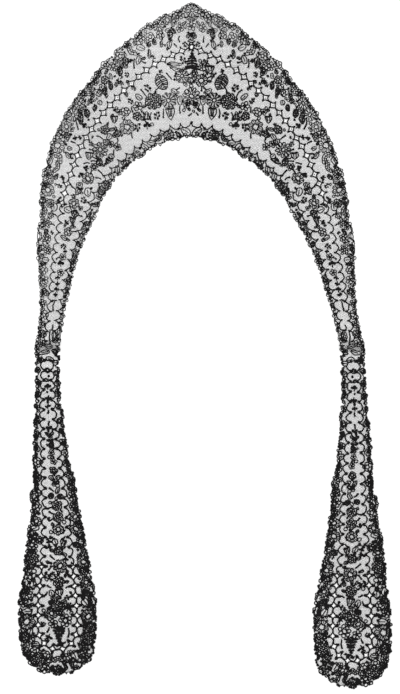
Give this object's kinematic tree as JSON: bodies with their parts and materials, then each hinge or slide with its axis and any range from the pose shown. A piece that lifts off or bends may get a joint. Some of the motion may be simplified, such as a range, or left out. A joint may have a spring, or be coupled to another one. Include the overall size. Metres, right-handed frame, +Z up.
{
  "type": "lace collar with lappets",
  "caption": "Pointed-back lace collar laid flat, with a long round-ended lappet sewn to each front end, worked with flowers, star cells and scalloped edges.",
  "frame": {"origin": "middle of the underside of the whole piece as it lies flat", "axes": "+Y up the centre back towards the collar's point, +X to the right-hand lappet, +Z up out of the surface it lies on"},
  "size_m": [0.5272, 0.9597, 0.0033],
  "materials": {
    "silk_lace": "matte black silk thread"
  },
  "bodies": {
    "root": {"collar": "silk_lace", "lappet_left": "silk_lace", "lappet_right": "silk_lace"}
  },
  "joints": []
}
